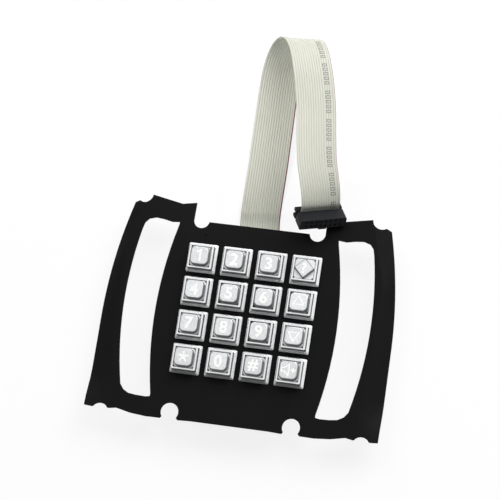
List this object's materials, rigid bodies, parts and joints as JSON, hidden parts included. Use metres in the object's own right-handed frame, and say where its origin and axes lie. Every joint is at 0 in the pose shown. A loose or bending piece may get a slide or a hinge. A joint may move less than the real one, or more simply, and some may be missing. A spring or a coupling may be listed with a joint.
{
  "type": "keypad",
  "caption": "Metal telephone-style keypad in square collars on a flat black mask with windowed wings, with a flat ribbon cable ending in a socket.",
  "frame": {"origin": "centre of the keypad's box at the back of its rear cover, without the cable", "axes": "+X to the right of the keys, +Y up them towards the cable, +Z out of their front"},
  "size_m": [0.1498, 0.2034, 0.0342],
  "materials": {
    "mask_black": "satin black",
    "bezel_metal": "satin, bright",
    "key_metal": "satin silver",
    "key_legend": "white filled legend",
    "mat_rubber": "matt",
    "carbon": "matt",
    "contact_gold": "bright",
    "board_green": "satin",
    "cover_steel": "brushed",
    "screw_steel": "bright",
    "socket_black": "moulded, satin",
    "ribbon_grey": "soft sheen",
    "ribbon_edge": "soft sheen"
  },
  "bodies": {
    "base": {"wing_mask": "mask_black", "key_bezel": "bezel_metal", "dome_mat": "mat_rubber", "carbon_pills": "carbon", "contact_pads": "contact_gold", "circuit_board": "board_green", "rear_cover": "cover_steel", "cover_screws": "screw_steel", "board_socket": "socket_black", "board_socket_clamp": "socket_black", "ribbon_cable": "ribbon_grey", "cable_socket": "socket_black", "cable_socket_clamp": "socket_black", "socket_contacts": "contact_gold"},
    "key_1_body": {"key_1": "key_metal"},
    "key_2_body": {"key_2": "key_metal"},
    "key_3_body": {"key_3": "key_metal"},
    "key_help_body": {"key_help": "key_metal"},
    "key_4_body": {"key_4": "key_metal"},
    "key_5_body": {"key_5": "key_metal"},
    "key_6_body": {"key_6": "key_metal"},
    "key_up_body": {"key_up": "key_metal"},
    "key_7_body": {"key_7": "key_metal"},
    "key_8_body": {"key_8": "key_metal"},
    "key_9_body": {"key_9": "key_metal"},
    "key_down_body": {"key_down": "key_metal"},
    "key_star_body": {"key_star": "key_metal"},
    "key_0_body": {"key_0": "key_metal"},
    "key_hash_body": {"key_hash": "key_metal"},
    "key_volume_body": {"key_volume": "key_metal"}
  },
  "joints": [
    {"name": "key_1_press", "type": "slide", "parent": "base", "child": "key_1_body", "axis": [0, 0, -1], "range_m": [0, 0.0015], "stiffness_N_per_m": 400, "springref_m": -0.0015, "deforming": ["dome_mat", "carbon_pills"]},
    {"name": "key_2_press", "type": "slide", "parent": "base", "child": "key_2_body", "axis": [0, 0, -1], "range_m": [0, 0.0015], "stiffness_N_per_m": 400, "springref_m": -0.0015, "deforming": ["dome_mat", "carbon_pills"]},
    {"name": "key_3_press", "type": "slide", "parent": "base", "child": "key_3_body", "axis": [0, 0, -1], "range_m": [0, 0.0015], "stiffness_N_per_m": 400, "springref_m": -0.0015, "deforming": ["dome_mat", "carbon_pills"]},
    {"name": "key_help_press", "type": "slide", "parent": "base", "child": "key_help_body", "axis": [0, 0, -1], "range_m": [0, 0.0015], "stiffness_N_per_m": 400, "springref_m": -0.0015, "deforming": ["dome_mat", "carbon_pills"]},
    {"name": "key_4_press", "type": "slide", "parent": "base", "child": "key_4_body", "axis": [0, 0, -1], "range_m": [0, 0.0015], "stiffness_N_per_m": 400, "springref_m": -0.0015, "deforming": ["dome_mat", "carbon_pills"]},
    {"name": "key_5_press", "type": "slide", "parent": "base", "child": "key_5_body", "axis": [0, 0, -1], "range_m": [0, 0.0015], "stiffness_N_per_m": 400, "springref_m": -0.0015, "deforming": ["dome_mat", "carbon_pills"]},
    {"name": "key_6_press", "type": "slide", "parent": "base", "child": "key_6_body", "axis": [0, 0, -1], "range_m": [0, 0.0015], "stiffness_N_per_m": 400, "springref_m": -0.0015, "deforming": ["dome_mat", "carbon_pills"]},
    {"name": "key_up_press", "type": "slide", "parent": "base", "child": "key_up_body", "axis": [0, 0, -1], "range_m": [0, 0.0015], "stiffness_N_per_m": 400, "springref_m": -0.0015, "deforming": ["dome_mat", "carbon_pills"]},
    {"name": "key_7_press", "type": "slide", "parent": "base", "child": "key_7_body", "axis": [0, 0, -1], "range_m": [0, 0.0015], "stiffness_N_per_m": 400, "springref_m": -0.0015, "deforming": ["dome_mat", "carbon_pills"]},
    {"name": "key_8_press", "type": "slide", "parent": "base", "child": "key_8_body", "axis": [0, 0, -1], "range_m": [0, 0.0015], "stiffness_N_per_m": 400, "springref_m": -0.0015, "deforming": ["dome_mat", "carbon_pills"]},
    {"name": "key_9_press", "type": "slide", "parent": "base", "child": "key_9_body", "axis": [0, 0, -1], "range_m": [0, 0.0015], "stiffness_N_per_m": 400, "springref_m": -0.0015, "deforming": ["dome_mat", "carbon_pills"]},
    {"name": "key_down_press", "type": "slide", "parent": "base", "child": "key_down_body", "axis": [0, 0, -1], "range_m": [0, 0.0015], "stiffness_N_per_m": 400, "springref_m": -0.0015, "deforming": ["dome_mat", "carbon_pills"]},
    {"name": "key_star_press", "type": "slide", "parent": "base", "child": "key_star_body", "axis": [0, 0, -1], "range_m": [0, 0.0015], "stiffness_N_per_m": 400, "springref_m": -0.0015, "deforming": ["dome_mat", "carbon_pills"]},
    {"name": "key_0_press", "type": "slide", "parent": "base", "child": "key_0_body", "axis": [0, 0, -1], "range_m": [0, 0.0015], "stiffness_N_per_m": 400, "springref_m": -0.0015, "deforming": ["dome_mat", "carbon_pills"]},
    {"name": "key_hash_press", "type": "slide", "parent": "base", "child": "key_hash_body", "axis": [0, 0, -1], "range_m": [0, 0.0015], "stiffness_N_per_m": 400, "springref_m": -0.0015, "deforming": ["dome_mat", "carbon_pills"]},
    {"name": "key_volume_press", "type": "slide", "parent": "base", "child": "key_volume_body", "axis": [0, 0, -1], "range_m": [0, 0.0015], "stiffness_N_per_m": 400, "springref_m": -0.0015, "deforming": ["dome_mat", "carbon_pills"]}
  ]
}
